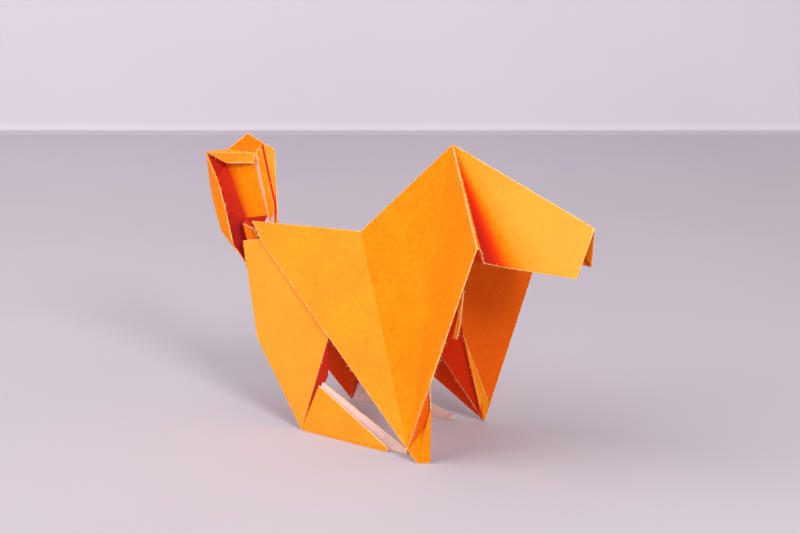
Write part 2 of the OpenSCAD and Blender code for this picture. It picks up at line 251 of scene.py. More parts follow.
class Sheet:
    """One folded sheet, collected facet by facet as closed slabs with rounded rims."""

    def __init__(self):
        self.bm = bmesh.new()
        self.worn = self.bm.verts.layers.float.new("worn")
        self.deep = self.bm.verts.layers.float.new("deep")
        self.worn_lines = []

    def vert(self, p, worn, deep):
        v = self.bm.verts.new(p)
        v[self.worn], v[self.deep] = worn, deep
        return v

    def skin(self, corners, slot):
        f = self.bm.faces.new(corners)
        f.material_index = slot
        f.smooth = True

    def orange(self, corners, outward, deep=(0.0, 0.0), **more):
        """Adds a facet that is orange inside too, where another layer lies behind the white one."""
        self.facet(corners, outward, deep=deep, inside=OUTSIDE, **more)

    def facet(self, corners, outward, worn=(), cut=(), wave=0.12, deep=(0.0, 0.0), inside=INSIDE):
        """Adds a flat facet. outward is the way its orange side faces, worn gives the wear of the
        edge after each corner, 1 for a plainly worn one, cut lists the edges that are the sheet's
        raw edge, and deep gives the painted light of its outer and its inner side: above 0
        a redder painted shade as deep in a fold, below 0 a paler painted sheen where light falls."""
        pts = [Vector(p) for p in corners]
        count = len(pts)
        worn = list(worn) + [0.0] * (count - len(worn))
        if count == 4:
            a, b, c, d = pts
            across = max(4, round(max((b - a).length, (c - d).length) / LONG_STEP))
            down = max(4, round(max((d - a).length, (c - b).length) / LONG_STEP))
            rows = [[(mix(mix(a, d, i / down), mix(b, c, i / down), j / across), deep[0])
                     for j in range(across + 1)] for i in range(down + 1)]
            self.bent(rows, outward, worn=worn, cut=cut, wave=wave, inside=inside, inner_deep=deep[1])
            return
        turns = [(pts[i] - pts[0]).cross(pts[(i + 1) % count] - pts[0]) for i in range(count)]
        normal = sum(turns, Vector())
        normal.normalize()
        cut = list(cut)
        if normal.dot(Vector(outward)) < 0:
            pts = [pts[0]] + pts[:0:-1]
            worn = worn[::-1]
            cut = [count - 1 - c for c in cut]
            normal.negate()
        ways = [(pts[(i + 1) % count] - pts[i]).normalized() for i in range(count)]
        inward = [normal.cross(w).normalized() for w in ways]
        area = sum(t.length for t in turns) / 2
        around = sum((pts[(i + 1) % count] - pts[i]).length for i in range(count))
        reach = 2 * area / around * 0.97  # a little less than the radius of the circle inside
        corner_pull = []
        for i in range(count):
            both = inward[i - 1] + inward[i]
            corner_pull.append(both / max(0.02, both.dot(inward[i])))
        middle = sum(pts, Vector()) / count
        if count == 3:
            sides = [(pts[(i + 2) % 3] - pts[(i + 1) % 3]).length for i in range(3)]
            middle = sum((pts[i] * sides[i] for i in range(3)), Vector()) / sum(sides)
        depths = [d for d in RING_DEPTHS if d < reach * 0.8]
        last = depths[-1]
        more = max(1, min(6, int((reach - last) / RING_STEP)))
        depths += [last + (reach - last) * (k + 1) / (more + 1) for k in range(more)]
        steps = [max(1, int((pts[(i + 1) % count] - pts[i]).length / LONG_STEP)) for i in range(count)]
        self.worn_lines += [(pts[i], pts[(i + 1) % count], worn[i]) for i in range(count) if worn[i] > 0]

        def ring_corner(p, pull, depth):
            share = min(1.0, depth / reach)
            if count > 3 and (pull * depth).length < (middle - p).length * share * 1.6:
                return p + pull * depth
            return mix(p, middle, share)

        def ring_points(depth):
            inner = [ring_corner(p, pull, depth) for p, pull in zip(pts, corner_pull)]
            found = []
            for i in range(count):
                a, b = inner[i], inner[(i + 1) % count]
                found += [(a + (b - a) * (k / steps[i]), i, k / steps[i]) for k in range(steps[i])]
            return found

        def raised(p, depth):
            share = min(1.0, depth / reach)
            ramp = share * (2 - share)
            return p + normal * ramp * swell(p, wave)

        def wear_at(p):
            best = UNWORN
            for i in range(count):
                if worn[i] > 0:
                    away = abs((p - pts[i]).dot(inward[i]))
                    along = (p - pts[i]).dot(ways[i])
                    over = max(0.0, -along, along - (pts[(i + 1) % count] - pts[i]).length)
                    best = min(best, math.hypot(away, over) / worn[i])
            return best

        half = PAPER / 2
        loops = []
        for sign, slot, side_painted_shade in ((1, OUTSIDE, deep[0]), (-1, inside, deep[1])):
            rings = [[self.vert(raised(p, depth) + normal * half * sign, wear_at(p), side_painted_shade)
                      for p, _, _ in ring_points(depth)] for depth in depths]
            centre = self.vert(raised(middle, reach) + normal * half * sign, wear_at(middle), side_painted_shade)
            size = len(rings[0])
            for a, b in zip(rings, rings[1:]):
                for k in range(size):
                    quad = (a[k], a[(k + 1) % size], b[(k + 1) % size], b[k])
                    self.skin(quad if sign > 0 else quad[::-1], slot)
            for k in range(size):
                tri = (rings[-1][k], rings[-1][(k + 1) % size], centre)
                self.skin(tri if sign > 0 else tri[::-1], slot)
            loops.append(rings[0])
        base = ring_points(0.0)
        aways = [-inward[i] if t > 0 else -(inward[i - 1] + inward[i]).normalized() for _, i, t in base]
        wears = [0.0 if worn[i] > 0 else UNWORN for _, i, _ in base]
        slots = [CUT if i in cut else OUTSIDE for _, i, _ in base]
        line = [p for p, _, _ in base]
        self.rim(line, aways, [normal] * len(base), loops[0], loops[1], wears, slots, deep[0])

    def rim(self, line, aways, normals, outer, inner, wears, slots, deep):
        """Closes a sheet's edge with a rounded rim between its two sides."""
        half = PAPER / 2
        rims = [outer]
        for s in range(1, RIM_STEPS):
            turn = math.pi * s / RIM_STEPS
            rims.append([self.vert(p + away * half * math.sin(turn) + n * half * math.cos(turn), wear, deep)
                         for p, away, n, wear in zip(line, aways, normals, wears)])
        rims.append(inner)
        size = len(line)
        for a, b in zip(rims, rims[1:]):
            for k in range(size):
                self.skin((a[(k + 1) % size], a[k], b[k], b[(k + 1) % size]), slots[k])

    def bent(self, rows, outward, worn=(0, 0, 0, 0), cut=(), wave=0.1, inside=INSIDE, inner_deep=None):
        """Adds a curved facet. rows are equal chains of (point, painted shade) pairs; worn and cut follow
        the sides in the order first row, row ends, last row, row starts."""
        n, m = len(rows), len(rows[0])
        pts = [[p for p, _ in row] for row in rows]

        def normal_at(i, j):
            j = min(max(j, 1), m - 2) if m > 2 else j
            across = pts[min(i + 1, n - 1)][j] - pts[max(i - 1, 0)][j]
            along = pts[i][min(j + 1, m - 1)] - pts[i][max(j - 1, 0)]
            return across.cross(along).normalized()

        normals = [[normal_at(i, j) for j in range(m)] for i in range(n)]
        if sum((v for row in normals for v in row), Vector()).dot(Vector(outward)) < 0:
            rows, pts = rows[::-1], pts[::-1]
            worn = (worn[2], worn[1], worn[0], worn[3])
            cut = [{0: 2, 2: 0}.get(c, c) for c in cut]
            normals = [[normal_at(i, j) for j in range(m)] for i in range(n)]
        sides = ([(0, j) for j in range(m)], [(i, m - 1) for i in range(n)],
                 [(n - 1, j) for j in range(m - 1, -1, -1)], [(i, 0) for i in range(n - 1, -1, -1)])
        lines = [[pts[i][j] for i, j in side] for side in sides]
        for line, strength in zip(lines, worn):
            if strength > 0:
                self.worn_lines += [(a, b, strength) for a, b in zip(line, line[1:])]

        def wear_at(p):
            best = UNWORN
            for line, strength in zip(lines, worn):
                if strength > 0:
                    for a, b in zip(line, line[1:]):
                        way = b - a
                        share = min(1.0, max(0.0, (p - a).dot(way) / max(1e-9, way.length_squared)))
                        best = min(best, (a + way * share - p).length / strength)
            return best

        wears = [[wear_at(p) for p in row] for row in pts]
        half = PAPER / 2
        grids = []
        for sign, slot in ((1, OUTSIDE), (-1, inside)):
            grid = []
            for i in range(n):
                line = []
                for j in range(m):
                    p = pts[i][j]
                    calm = min(1.0, 4 * i / n, 4 * (n - 1 - i) / n, 4 * j / m, 4 * (m - 1 - j) / m)
                    # depth here is the point's painted shade, or the inner side's own painted shade when
                    # one is given
                    depth = rows[i][j][1] if sign > 0 or inner_deep is None else inner_deep
                    out = half * sign + swell(p, wave) * calm
                    line.append(self.vert(p + normals[i][j] * out, wears[i][j], depth))
                grid.append(line)
            for i in range(n - 1):
                for j in range(m - 1):
                    quad = (grid[i][j], grid[i + 1][j], grid[i + 1][j + 1], grid[i][j + 1])
                    self.skin(quad if sign > 0 else quad[::-1], slot)
            grids.append(grid)
        loop, slots, rim_wear = [], [], []
        for number, side in enumerate(sides):
            for i, j in side[:-1]:
                loop.append((i, j))
                slots.append(CUT if number in cut else OUTSIDE)
                rim_wear.append(0.0 if worn[number] > 0 else UNWORN)
        aways = []
        for i, j in loop:
            inner_p = pts[min(max(i, 1), n - 2)][min(max(j, 1), m - 2)]
            away = pts[i][j] - inner_p
            away -= normals[i][j] * away.dot(normals[i][j])
            aways.append(away.normalized())
        # The loop runs against the quads' turn, so it is reversed for the rim.
        order = list(range(len(loop)))[::-1]
        slots = [slots[(k - 1) % len(slots)] for k in order]
        pick = [loop[k] for k in order]
        self.rim([pts[i][j] for i, j in pick], [aways[k] for k in order], [normals[i][j] for i, j in pick],
                 [grids[0][i][j] for i, j in pick], [grids[1][i][j] for i, j in pick],
                 [rim_wear[k] for k in order], slots, 0.0)

    def fan(self, apex, curve, outward, **more):
        """Adds a curved facet of straight lines from apex to a chain of (point, painted shade) pairs."""
        ends = spread(curve, CURVE_STEP)
        steps = max(6, round(max((p - Vector(apex)).length for p, _ in ends) / FAN_STEP))
        rows = []
        # depth is the painted shade, which fades out towards the apex
        for p, depth in ends:
            row = []
            for j in range(steps + 1):
                share = APEX_GAP + (1 - APEX_GAP) * j / steps
                row.append((mix(apex, p, share), depth * (1 - (1 - share) ** 3)))
            rows.append(row)
        self.bent(rows, outward, **more)

    def piece(self, name, materials, seed):
        """Turns the collected facets and the fibres along their worn edges into one object in the
        dog's frame, in metres."""
        into_row = Matrix.Scale(MM, 4) @ Matrix.Translation((-CENTRE_X, 0, 0))
        bmesh.ops.transform(self.bm, matrix=into_row, verts=self.bm.verts)
        count = len(self.bm.faces)
        self.bm.from_mesh(fibres(self.worn_lines, seed))
        self.bm.faces.ensure_lookup_table()
        for f in self.bm.faces[count:]:
            f.material_index = FIBRE
            f.smooth = True
        mesh = bpy.data.meshes.new(name)
        self.bm.to_mesh(mesh)
        self.bm.free()
        for m in materials:
            mesh.materials.append(m)
        obj = bpy.data.objects.new(name, mesh)
        bpy.context.scene.collection.objects.link(obj)
        return obj


def linear(r, g, b):
    """A colour given as 0 to 255 screen values, as linear light."""
    shares = [c / 255 for c in (r, g, b)]
    return tuple(((s + 0.055) / 1.055) ** 2.4 if s > 0.04 else s / 12.92 for s in shares) + (1.0,)


def add_node(tree, kind, settings=None, **inputs):
    """Adds a node and fills or links its inputs, which go by name, or by the letter i and a number."""
    n = tree.nodes.new(kind)
    for key, value in (settings or {}).items():
        setattr(n, key, value)
    for key, value in inputs.items():
        numbered = key[0] == "i" and key[1:].isdigit()
        socket = n.inputs[int(key[1:]) if numbered else key.replace("_", " ")]
        if isinstance(value, bpy.types.NodeSocket):
            tree.links.new(value, socket)
        else:
            socket.default_value = value
    return n


class Nodes:
    """Small helper that builds a material's nodes."""

    def __init__(self, name):
        self.material = bpy.data.materials.new(name)
        self.material.use_nodes = True
        self.tree = self.material.node_tree
        self.tree.nodes.clear()

    def add(self, kind, settings=None, **inputs):
        return add_node(self.tree, kind, settings, **inputs)

    def math(self, what, a, b=0.0, clamp=False):
        return self.add("ShaderNodeMath", {"operation": what, "use_clamp": clamp}, i0=a, i1=b).outputs[0]

    def blend(self, share, a, b):
        return self.add("ShaderNodeMix", {"data_type": "RGBA"}, i0=share, i6=a, i7=b).outputs[2]

    def ramp(self, value, low, high, to_low=0.0, to_high=1.0):
        n = self.add("ShaderNodeMapRange", {"interpolation_type": "SMOOTHSTEP"},
                     i0=value, i1=low, i2=high, i3=to_low, i4=to_high)
        return n.outputs[0]

    def noise(self, scale, detail=3.0, rough=0.55, stretch=(1, 1, 1), shift=0.0):
        place = self.add("ShaderNodeTexCoord").outputs["Object"]
        moved = self.add("ShaderNodeMapping", Vector=place, Location=(shift, shift * 0.7, -shift),
                         Scale=stretch)
        n = self.add("ShaderNodeTexNoise", Vector=moved.outputs[0], Scale=scale, Detail=detail,
                     Roughness=rough)
        return n.outputs["Fac"]

    def attribute(self, name):
        return self.add("ShaderNodeAttribute", {"attribute_name": name}).outputs["Fac"]

    def matte(self, colour, rough, specular, **more):
        return self.add("ShaderNodeBsdfPrincipled", Base_Color=colour, Roughness=rough,
                        Specular_IOR_Level=specular, **more).outputs[0]

    def finish(self, surface):
        self.add("ShaderNodeOutputMaterial", Surface=surface)
        return self.material


def paper_face(name, colour, light_colour, dark_colour, deep_colour, deepest_colour, painted_sheen_colour,
               wear_width):
    """Matte dyed paper: faint clouds, fine grain and flecks, a pale core where folds are worn, a
    redder painted shade deep in the folds (deep 1, darkest at 2) for the light that bounces
    from paper to paper there, and a paler painted sheen on facets where light falls (deep
    below 0). wear_width is in mm."""
    m = Nodes(name)
    clouds = m.noise(45.0, 3.0)
    grain = m.noise(800.0, 4.0, 0.75, shift=1.3)
    flecks = m.noise(1500.0, 2.0, 0.6, stretch=(1, 1, 0.5), shift=4.1)
    tint = m.blend(m.math("MULTIPLY", m.ramp(clouds, 0.35, 0.7), 0.8), colour, light_colour)
    tint = m.blend(m.math("MULTIPLY", m.ramp(grain, 0.48, 0.64), 0.7), tint, dark_colour)
    tint = m.blend(m.math("MULTIPLY", m.ramp(flecks, 0.54, 0.66), 0.9), tint, light_colour)
    # Painted light: below 0 the attribute blends in a paler painted sheen, above 0 a redder painted shade,
    # darkest at 2.
    deep = m.attribute("deep")
    tint = m.blend(m.math("MULTIPLY", deep, -1.0, True), tint, painted_sheen_colour)
    tint = m.blend(m.math("MAXIMUM", deep, 0.0, True), tint, deep_colour)
    tint = m.blend(m.math("SUBTRACT", deep, 1.0, True), tint, deepest_colour)
    ragged = m.noise(900.0, 4.0, 0.75, shift=2.2)
    patchy = m.noise(240.0, 4.0, 0.65, shift=7.5)
    limit = m.math("MULTIPLY", m.ramp(patchy, 0.4, 0.66, 0.1, 1.5), wear_width)
    frayed = m.math("MULTIPLY", m.ramp(ragged, 0.3, 0.7, -0.7, 1.0), wear_width)
    edge = m.math("SUBTRACT", m.attribute("worn"), frayed)
    mask = m.ramp(m.math("DIVIDE", edge, limit), 0.1, 1.0, 1.0, 0.0)
    tint = m.blend(m.math("MULTIPLY", mask, 0.8), tint, PAPER_CORE)
    rough = m.ramp(grain, 0.3, 0.8, 0.62, 0.8)
    fuzz = m.math("MULTIPLY", m.math("MULTIPLY", mask, ragged), 1.6)
    height = m.math("ADD", m.math("MULTIPLY", grain, 0.6), fuzz)
    bump = m.add("ShaderNodeBump", Strength=0.3, Distance=0.0001, Height=height)
    return m.finish(m.matte(tint, rough, PAPER_SPECULAR, Normal=bump.outputs[0]))


def fibre_paint(name, colour):
    m = Nodes(name)
    return m.finish(m.matte(colour, 0.9, PAPER_SPECULAR))


PAPER_SPECULAR = 0.1
ORANGE = linear(255, 139, 0)
ORANGE_LIGHT = linear(255, 156, 6)
ORANGE_DARK = linear(250, 118, 0)
# Colours of painted light on the orange side: a redder painted shade for folds, darkest deep in them, and a
# paler painted sheen.
ORANGE_PAINTED_SHADE = linear(234, 56, 6)
ORANGE_PAINTED_DARKEST_SHADE = linear(150, 18, 34)
ORANGE_PAINTED_SHEEN = linear(255, 186, 78)
PAPER_CORE = linear(255, 216, 142)
PINK = linear(240, 202, 194)
PINK_LIGHT = linear(246, 214, 206)
PINK_DARK = linear(228, 184, 174)
# Painted shade of the white side.
PINK_PAINTED_SHADE = linear(214, 150, 140)

CUT_EDGE = linear(250, 214, 190)
CUT_LIGHT = linear(255, 230, 214)
CUT_DARK = linear(240, 160, 100)

orange_paper = paper_face("orange_paper", ORANGE, ORANGE_LIGHT, ORANGE_DARK, ORANGE_PAINTED_SHADE, ORANGE_PAINTED_DARKEST_SHADE,
                          ORANGE_PAINTED_SHEEN, 0.3)
white_paper = paper_face("white_paper", PINK, PINK_LIGHT, PINK_DARK, PINK_PAINTED_SHADE, PINK_PAINTED_SHADE, PINK_LIGHT, 0.2)
cut_paper = paper_face("cut_paper", CUT_EDGE, CUT_LIGHT, CUT_DARK, PINK_PAINTED_SHADE, PINK_PAINTED_SHADE, PINK_LIGHT, 0.5)
loose_fibre = fibre_paint("loose_fibre", linear(255, 214, 150))
SHEET_MATERIALS = (orange_paper, white_paper, cut_paper, loose_fibre)


def fibre_nodes():
    """Instances a short bent fibre on every point and turns each one another way."""
    tree = bpy.data.node_groups.new("fibre_growth", "GeometryNodeTree")
    tree.interface.new_socket("Points", in_out="INPUT", socket_type="NodeSocketGeometry")
    tree.interface.new_socket("Seed", in_out="INPUT", socket_type="NodeSocketInt")
    tree.interface.new_socket("Shortest", in_out="INPUT", socket_type="NodeSocketFloat")
    tree.interface.new_socket("Longest", in_out="INPUT", socket_type="NodeSocketFloat")
    tree.interface.new_socket("Fibres", in_out="OUTPUT", socket_type="NodeSocketGeometry")

    def add(kind, settings=None, **inputs):
        return add_node(tree, kind, settings, **inputs)

    given = add("NodeGroupInput")
    # A thread 1 mm long, tapered, with its tip bowed sideways.
    thread = add("GeometryNodeMeshCone", Vertices=4, Side_Segments=3, Radius_Top=0.00003,
                 Radius_Bottom=0.00008, Depth=0.001)
    place = add("ShaderNodeSeparateXYZ", Vector=add("GeometryNodeInputPosition").outputs[0])
    rise = add("ShaderNodeMath", {"operation": "POWER"}, i0=place.outputs["Z"], i1=2.0)
    bend = add("ShaderNodeMath", {"operation": "MULTIPLY"}, i0=rise.outputs[0], i1=600.0)
    shift = add("ShaderNodeCombineXYZ", X=bend.outputs[0])
    bowed = add("GeometryNodeSetPosition", Geometry=thread.outputs["Mesh"], Offset=shift.outputs[0])
    turn = add("FunctionNodeRandomValue", {"data_type": "FLOAT_VECTOR"}, Seed=given.outputs["Seed"])
    turn.inputs["Min"].default_value = (0.0, 0.0, 0.0)
    turn.inputs["Max"].default_value = (6.28, 6.28, 6.28)
    size = add("FunctionNodeRandomValue", {"data_type": "FLOAT"}, Seed=given.outputs["Seed"])
    low, high = [i for i in size.inputs if i.name in ("Min", "Max") and i.type == "VALUE"]
    tree.links.new(given.outputs["Shortest"], low)
    tree.links.new(given.outputs["Longest"], high)
    grown = add("GeometryNodeInstanceOnPoints", Points=given.outputs["Points"], Instance=bowed.outputs[0],
                Rotation=turn.outputs[0], Scale=size.outputs[1])
    real = add("GeometryNodeRealizeInstances", Geometry=grown.outputs[0])
    painted = add("GeometryNodeSetMaterial", Geometry=real.outputs[0], Material=loose_fibre)
    out = add("NodeGroupOutput")
    tree.links.new(painted.outputs[0], out.inputs[0])
    return tree


fibre_tree = fibre_nodes()


def fibres(lines, seed):
    """A mesh of short fibres along worn edges, none near the outermost points of the dog."""
    chance = random.Random(seed)
    points = []
    low, high = [Vector(c) / MM for c in cad_box]
    for a, b, strength in lines:
        for _ in range(round((b - a).length * strength * FIBRES_PER_MM + chance.random())):
            p = mix(a, b, chance.random()) - Vector((CENTRE_X, 0, 0))
            if all(low[i] + FIBRE_MARGIN < p[i] < high[i] - FIBRE_MARGIN for i in range(3)):
                points.append(p * MM)
    mesh = bpy.data.meshes.new("fibre_points")
    mesh.from_pydata(points, [], [])
    obj = bpy.data.objects.new("fibre_points", mesh)
    bpy.context.scene.collection.objects.link(obj)
    growth = obj.modifiers.new("growth", "NODES")
    growth.node_group = fibre_tree
    values = {"Seed": seed, "Shortest": SHORTEST_FIBRE, "Longest": LONGEST_FIBRE}
    for item in fibre_tree.interface.items_tree:
        if item.name in values:
            growth[item.identifier] = values[item.name]
    bpy.context.view_layer.update()
    found = bpy.data.meshes.new_from_object(obj.evaluated_get(bpy.context.evaluated_depsgraph_get()))
    bpy.data.objects.remove(obj)
    return found


RIGHT = (0, -1, 0)
LEFT = (0, 1, 0)
FRONT = (1, -1, 0)


def side_panels(sheet, corner, trim, tip, chest_corner, outward, inner_shade):
    """Back, neck and chest panels of one side."""
    # The pairs paint light: the panels' inner sides get a redder painted shade, and the back panel's outer
    # side a faint painted sheen.
    shade = {"deep": (0.0, inner_shade), "wave": 0.12}
    sheet.orange([corner, notch, tip, trim], outward, (-0.18, inner_shade), worn=(0.3, 0, 0.75, 0.5),
                 cut=(2, 3), wave=0.1)
    sheet.orange([notch, neck_top, tip], outward, worn=(0.2, 0, 0), **shade)
    sheet.orange([neck_top, chest_corner, tip], outward, worn=(0.9, 0.9, 0), **shade)


def head_side(sheet, turn, low, outward):
    """One side of the head: a return strip behind the neck's edge, a deep fold, and a wide curved side."""
    corner, roll, valley, fold = turn(chest), turn(curl), turn(cheek), turn(jaw)
    strip_side = turn(chest + Vector((0.3, 1.6, -0.8)))
    strip_end = turn(chest + Vector((-0.4, 4, -3.4)))
    # The numbers along the curve paint light: a redder painted shade in the deep fold, a paler painted
    # sheen on the wide side where light falls, and painted shade on the inner side.
    curve = [(corner, 0.1), (strip_side, 0.25), (strip_end, 0.35), (roll, 0.45),
             (mix(roll, valley, 0.6), 1.1), (valley, 1.6), (mix(valley, fold, 0.45), 1.45), (fold, 0.85),
             (mix(fold, low, 0.16), 0.15), (mix(fold, low, 0.34), -0.25), (low, -0.5), (nose_top, -0.5)]
    sheet.fan(neck_top, curve, outward, worn=(0.5, 0.35, 0.55, 0), wave=0.12, inside=OUTSIDE,
              inner_deep=0.6)


# Front sheet: back, neck, head and forelegs.
front = Sheet()
side_panels(front, back_corner, back_trim, fore_tip, chest, RIGHT, 0.9)
side_panels(front, left_back_corner, left_back_trim, left_fore_tip, far(chest), LEFT, 0.95)
head_side(front, Vector, nose_low, (0, -1, 1))
head_side(front, far, left_nose_low, (0, 1, 1))
tuck = Vector((0, 0.6, 0.2))  # keeps a layer that is folded in clear of the one outside it
# The pairs after the way give painted shade to the layers folded in behind the edges of head and legs,
# redder the deeper they lie in shade, and a faint painted sheen to the narrow strip's outside.
front.orange([jaw + tuck, nose_low + tuck, head_strip_top], (0, 1, -1), (0.6, 0.6), wave=0)
front.orange([far(jaw + tuck), left_nose_low + far(tuck), far(head_strip_top)], (0, -1, -1), (0.5, 0.5),
             wave=0)
front.orange([nose_low + tuck, nose_top, nose_ridge], (-1, 1, 0), (0.3, 0.3), wave=0)
front.orange([left_nose_low + far(tuck), nose_top, nose_ridge], (-1, -1, 0), (0.0, 0.3), wave=0)
front.orange([fore_tip, chest, strip_top], LEFT, (0.6, 0.6), worn=(0.3, 0, 0.4))
front.orange([left_fore_tip, far(chest), strip_top_left], RIGHT, (0.6, 0.6), worn=(0.2, 0, 0))
front.orange([left_fore_tip, strip_top_left, strip_back], RIGHT, (1.0, 1.0), worn=(0, 0, 0.7), wave=0.05)
front.orange([chest, curl, strip_top], (1, 0, 0), (0.8, 0.8))
front.orange([curl, cheek, strip_top], (1, 0, 0), (0.9, 0.9))
front.orange([far(chest), far(curl), strip_top_left], (1, 0, 0), (0.7, 0.7))
front.orange([far(curl), far(cheek), strip_top_left], (1, 0, 0), (0.8, 0.8))
front.orange([narrow_top, narrow_side, left_fore_tip, narrow_in], RIGHT, (-0.1, 0.6),
             worn=(0.25, 0, 0, 0.5), wave=0.03)
front.orange([narrow_top, narrow_in, strip_top_left], RIGHT, (0.9, 0.9))
front.orange([narrow_in, left_fore_tip, far(slit_up)], RIGHT, (0.7, 0.7))
front.facet([back_corner, notch, keel_rear], LEFT, cut=(2,))
front.facet([left_back_corner, notch, keel_rear], RIGHT, cut=(2,))
front.facet([notch, keel_rear, keel_mid], LEFT)
front.facet([notch, neck_top, keel_front], LEFT)
# The right forefoot's layers carry painted shade, given by the pairs after the way.
front.orange([slit_up, slit_low, fore_tip], FRONT, (0.6, 0.6))
front.orange([fore_tip, slit_low, foot_ground], FRONT, (0.1, 0.6), worn=(0, 0.5, 0.3))
front.facet([slit_top, slit_front, slit_low], (-1, 1, 0), worn=(0.9, 0, 0), cut=(0, 1))
front.orange([slit_up, slit_top, slit_low], FRONT, (0.8, 0.8))
front.orange([slit_front, foot_front, foot_ground], FRONT, (0.05, 0.5), worn=(0, 0.5, 0))
front.orange([slit_front, foot_ground, slit_low], FRONT, (0.3, 0.5), worn=(0, 0.8, 0), cut=(1,))
# The small flap gets a faint painted sheen outside and painted shade inside.
front.orange([flap_up, flap_front, flap_front_low, flap_end, flap_end_rear], RIGHT, (-0.3, 0.5),
             worn=(0.6, 0.6, 0.6, 0.4, 0), cut=(0, 1, 2, 3), wave=0.03)

# Rear sheet: rump, hind legs and tail.
rear = Sheet()
# Painted light on the hind panels: a paler painted sheen outside and a redder painted shade inside.
HIND_PAINTED_LIGHT = {"deep": (-0.35, 0.9), "wave": 0.05}
rear.orange([rump, leg_apex, heel, hind_bend], RIGHT, worn=(0, 0.3, 0.25, 0.25), **HIND_PAINTED_LIGHT)
rear.orange([left_rump, left_leg_apex, left_heel, left_hind_bend], LEFT, worn=(0, 0.3, 0.25, 0.25),
            **HIND_PAINTED_LIGHT)
rear.orange([rump, rump_inner, leg_apex], RIGHT, worn=(0.3, 0, 0), **HIND_PAINTED_LIGHT)
rear.orange([left_rump, left_rump_inner, left_leg_apex], LEFT, worn=(0.3, 0, 0), **HIND_PAINTED_LIGHT)
rear.orange([rump_inner, hind_top, leg_apex], RIGHT, **HIND_PAINTED_LIGHT)
rear.orange([left_rump_inner, left_hind_top, left_leg_apex], LEFT, **HIND_PAINTED_LIGHT)
# Inner layers of the rump, in painted shade.
for corners in ([rump, rump_inner, rear_keel_back],
                [rump_inner, hind_top, rear_keel_back],
                [hind_top, rear_keel_back, rear_keel_front]):
    rear.orange(corners, LEFT, (0.9, 0.9), wave=0.02)
for corners in ([left_rump, left_rump_inner, rear_keel_back],
                [left_rump_inner, left_hind_top, rear_keel_back],
                [left_hind_top, rear_keel_back, rear_keel_front]):
    rear.orange(corners, RIGHT, (0.9, 0.9), wave=0.02)
# Layers inside the hind legs, in deep painted shade.
rear.orange([inner_bend, heel, inner_edge], LEFT, (1.3, 1.5))
rear.orange([leg_apex, heel, inner_edge], (1, -1, 0), (1.5, 1.5))
rear.orange([left_leg_apex, left_heel, far(inner_edge)], (1, 1, 0), (1.3, 1.3))


def hind_foot(sheet, turn, outer_way, inner_way):
    """One hind foot, a trough whose inner wall stands higher than its outer one."""
    # The last pair paints light: a faint painted sheen on the outer wall's orange side, painted shade on
    # its white side and on the inner wall's orange side.
    for corners, way, worn, cut, deep in (
            ((heel, foot_top, toe_rise), outer_way, (0, 0.45, 0), (1,), (-0.2, 0.3)),
            ((heel, toe_rise, toe), outer_way, (0, 1.0, 0.3), (1,), (-0.2, 0.3)),
            ((heel, inner_foot_top, inner_toe_rise), inner_way, (0, 0.2, 0), (), (0.9, 0.0)),
            ((heel, inner_toe_rise, inner_toe), inner_way, (0, 0.6, 0.3), (1,), (0.9, 0.0))):
        sheet.facet([turn(p) for p in corners], way, worn=worn, cut=cut, deep=deep)


def left_turn(p):
    return far(p) - Vector((LEFT_FOOT_SETBACK, 0, 0))


hind_foot(rear, Vector, RIGHT, LEFT)
hind_foot(rear, left_turn, LEFT, LEFT)

OUT = (-0.4, -1, 0)
WALL = (1, -1, 0)
TAIL_OUTSIDE = (([tail_corner, tail_lip_top, tail_lip], (0.5, 0.5, 0)),
                ([tail_corner, tail_lip, tail_spine], ()),
                ([tail_spine, tail_lip, tail_lip_mid], (0, 0.7, 0)),
                ([tail_spine, tail_lip_mid, tail_spine_low], ()),
                ([tail_spine_low, tail_lip_mid, tail_bend], ()),
                ([tail_bend, tail_lip_mid, tail_lip_low], (0, 0.6, 0)),
                ([tail_bend, tail_lip_low, tail_root], (0, 0.6, 0)))
# The lip wall's inner side is in painted shade.
for corners, worn in TAIL_OUTSIDE:
    rear.orange(corners, OUT, (0.05, 0.9), worn=worn, wave=0.06)
# Facets deep in the trough, in dark painted shade.
TROUGH = (([tail_corner, tail_valley_top, tail_spine], 1.5),
          ([tail_spine, tail_valley_top, tail_valley], 1.3),
          ([tail_spine, tail_valley, tail_spine_low], 1.4),
          ([tail_spine_low, tail_valley, tail_valley_low], 1.4),
          ([tail_spine_low, tail_valley_low, tail_bend], 1.5),
          ([tail_bend, tail_valley_low, tail_floor], 1.7),
          ([tail_bend, tail_floor, tail_root], 1.7),
          ([tail_valley_low, tail_edge_low, tail_floor], 1.5),
          ([base_corner, tail_floor, base_left], 1.6),
          ([base_left, tail_valley_low, base_right], 1.4),
          ([tail_root, tail_floor, rear_keel_back], 1.7))
for corners, depth in TROUGH:
    rear.orange(corners, WALL, (depth, 0.3), wave=0.05)

# The trough's wide wall, with a redder painted shade towards the valley on its left, where the lip shades
# it.
WALL_ROWS, WALL_COLUMNS = 14, 6
VALLEY_SHARE = 0.58  # how far down the wall the valley bends
wall_rows = []
for k in range(WALL_ROWS + 1):
    share = k / WALL_ROWS
    if share < VALLEY_SHARE:
        left = mix(tail_valley_top, tail_valley, share / VALLEY_SHARE)
    else:
        left = mix(tail_valley, tail_valley_low, (share - VALLEY_SHARE) / (1 - VALLEY_SHARE))
    right = mix(tail_edge, tail_edge_low, share)
    # The second number is the painted shade, which fades out across the wall from the valley.
    wall_rows.append([(mix(left, right, j / WALL_COLUMNS), 0.75 * max(0.0, 1 - j / 2.2) ** 1.5)
                      for j in range(WALL_COLUMNS + 1)])
rear.bent(wall_rows, WALL, wave=0.05, inside=OUTSIDE)

